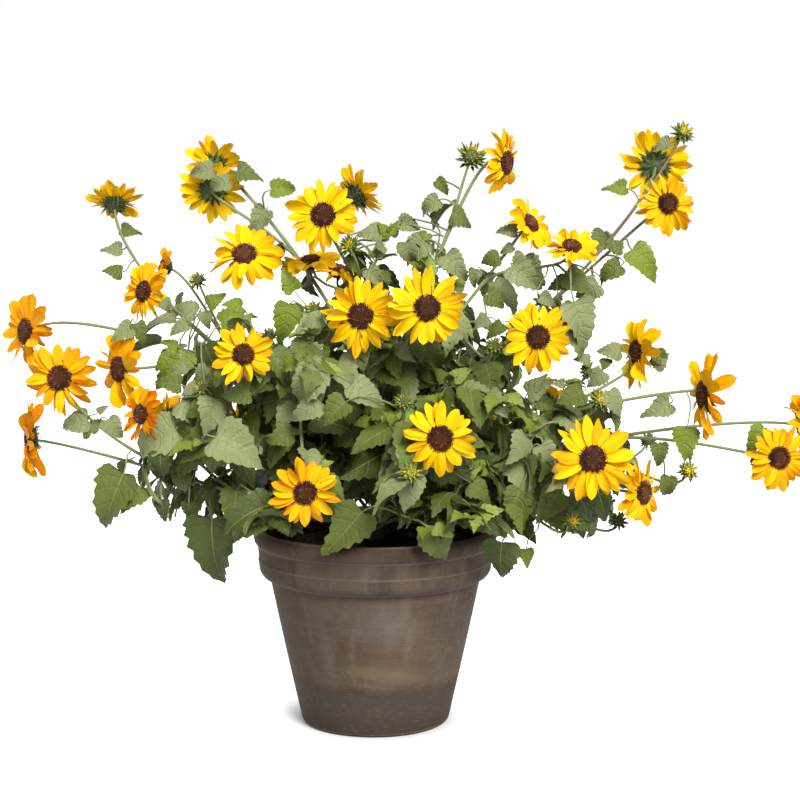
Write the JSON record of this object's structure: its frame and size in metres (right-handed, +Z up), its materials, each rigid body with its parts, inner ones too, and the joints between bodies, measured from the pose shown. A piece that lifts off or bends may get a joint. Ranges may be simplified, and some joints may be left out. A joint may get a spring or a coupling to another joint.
{
  "type": "potted branching sunflower plant",
  "caption": "Branching sunflower plant with many small yellow heads, in a tapered clay pot with a collared rim.",
  "frame": {"origin": "the middle of the pot's flat underside", "axes": "+Z up, -Y the front, +X the right seen from the front, along the crown's longest spread"},
  "size_m": [0.9182, 0.5898, 0.6828],
  "materials": {
    "clay": "unglazed weathered grey-brown clay with pale mineral bloom",
    "soil": "dark crumbly potting soil",
    "stem": "matte green stems with short pale hairs",
    "foliage": "matte grey-green leaves and bright yellow petals round dark brown discs"
  },
  "bodies": {
    "root": {"bough_back_left_high": "stem", "bough_back_left_low": "stem", "bough_back_mid_high": "stem", "bough_back_mid_low": "stem", "bough_back_right_high": "stem", "bough_back_right_low": "stem", "bough_crown": "stem", "bough_front": "stem", "bough_front_left": "stem", "bough_front_right": "stem", "bough_left_back": "stem", "bough_left_high": "stem", "bough_left_low": "stem", "bough_left_mid": "stem", "bough_middle": "stem", "bough_right_far": "stem", "bough_right_high": "stem", "bough_right_mid": "stem", "bough_top": "stem", "bough_top_right": "stem", "mass_back_left_high": "foliage", "mass_back_left_low": "foliage", "mass_back_mid_high": "foliage", "mass_back_mid_low": "foliage", "mass_back_right_high": "foliage", "mass_back_right_low": "foliage", "mass_crown": "foliage", "mass_front": "foliage", "mass_front_left": "foliage", "mass_front_right": "foliage", "mass_left_back": "foliage", "mass_left_high": "foliage", "mass_left_low": "foliage", "mass_left_mid": "foliage", "mass_middle": "foliage", "mass_right_far": "foliage", "mass_right_high": "foliage", "mass_right_mid": "foliage", "mass_top": "foliage", "mass_top_right": "foliage", "pot": "clay", "soil": "soil", "spray_heart_1": "foliage", "spray_heart_2": "foliage", "spray_heart_3": "foliage", "spray_heart_4": "foliage", "spray_skirt_1": "foliage", "spray_skirt_2": "foliage", "spray_skirt_3": "foliage", "spray_skirt_4": "foliage", "spray_skirt_5": "foliage", "spray_skirt_6": "foliage", "spray_skirt_7": "foliage", "spray_waist_1": "foliage", "spray_waist_2": "foliage", "spray_waist_3": "foliage", "spray_waist_4": "foliage", "spray_waist_5": "foliage", "stem": "stem"}
  },
  "joints": []
}
